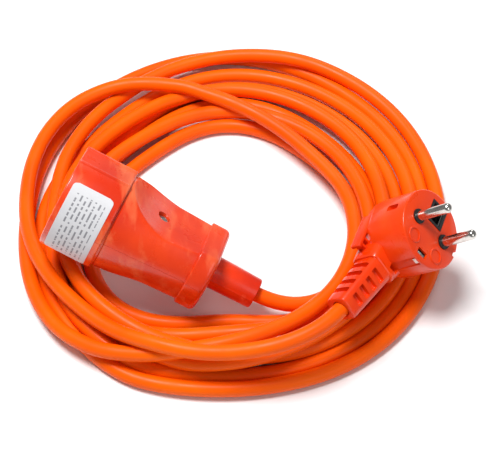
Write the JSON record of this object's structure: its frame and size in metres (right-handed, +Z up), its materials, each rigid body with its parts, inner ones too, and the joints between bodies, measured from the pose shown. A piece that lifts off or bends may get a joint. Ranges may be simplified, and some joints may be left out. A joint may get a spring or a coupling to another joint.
{
  "type": "extension cord",
  "caption": "Coiled mains extension cord with an angled earthed plug, a slotted strain relief and a rewirable socket in two half shells.",
  "frame": {"origin": "centre of the whole object's box, on the floor that the coil lies on", "axes": "+Z up; the socket lies at -X and opens towards -X, the plug lies at +X with its pins up and towards +X"},
  "size_m": [0.2177, 0.212, 0.0731],
  "materials": {
    "cord_jacket": "smooth satin PVC",
    "socket_shell": "semi-gloss moulded plastic",
    "soft_sleeve": "satin soft PVC",
    "plug_body": "satin moulded PVC",
    "black_plastic": "matt moulded",
    "plated_metal": "bright nickel plate",
    "brass": "bare brass",
    "steel": "zinc-plated steel",
    "label": "satin paper label",
    "core_brown": "satin insulation",
    "core_blue": "satin insulation",
    "core_green_yellow": "striped insulation"
  },
  "bodies": {
    "root": {"cord_coil": "cord_jacket", "cord_lead_socket": "cord_jacket", "cord_lead_plug": "cord_jacket", "socket_shell_upper": "socket_shell", "socket_shell_lower": "socket_shell", "socket_label": "label", "socket_contact_carrier": "black_plastic", "socket_contact_line": "brass", "socket_contact_neutral": "brass", "socket_earth_bracket": "plated_metal", "socket_terminal_screws": "steel", "socket_cord_clamp": "black_plastic", "socket_clamp_screws": "steel", "socket_housing_screw": "steel", "socket_housing_nut": "steel", "socket_bend_sleeve": "soft_sleeve", "socket_core_brown": "core_brown", "socket_core_blue": "core_blue", "socket_core_earth": "core_green_yellow", "plug_body": "plug_body", "plug_strain_relief": "plug_body", "plug_bridge": "black_plastic", "plug_pin_line": "plated_metal", "plug_pin_neutral": "plated_metal", "plug_earth_contact": "plated_metal", "plug_crimps": "brass", "plug_core_brown": "core_brown", "plug_core_blue": "core_blue", "plug_core_earth": "core_green_yellow"}
  },
  "joints": []
}
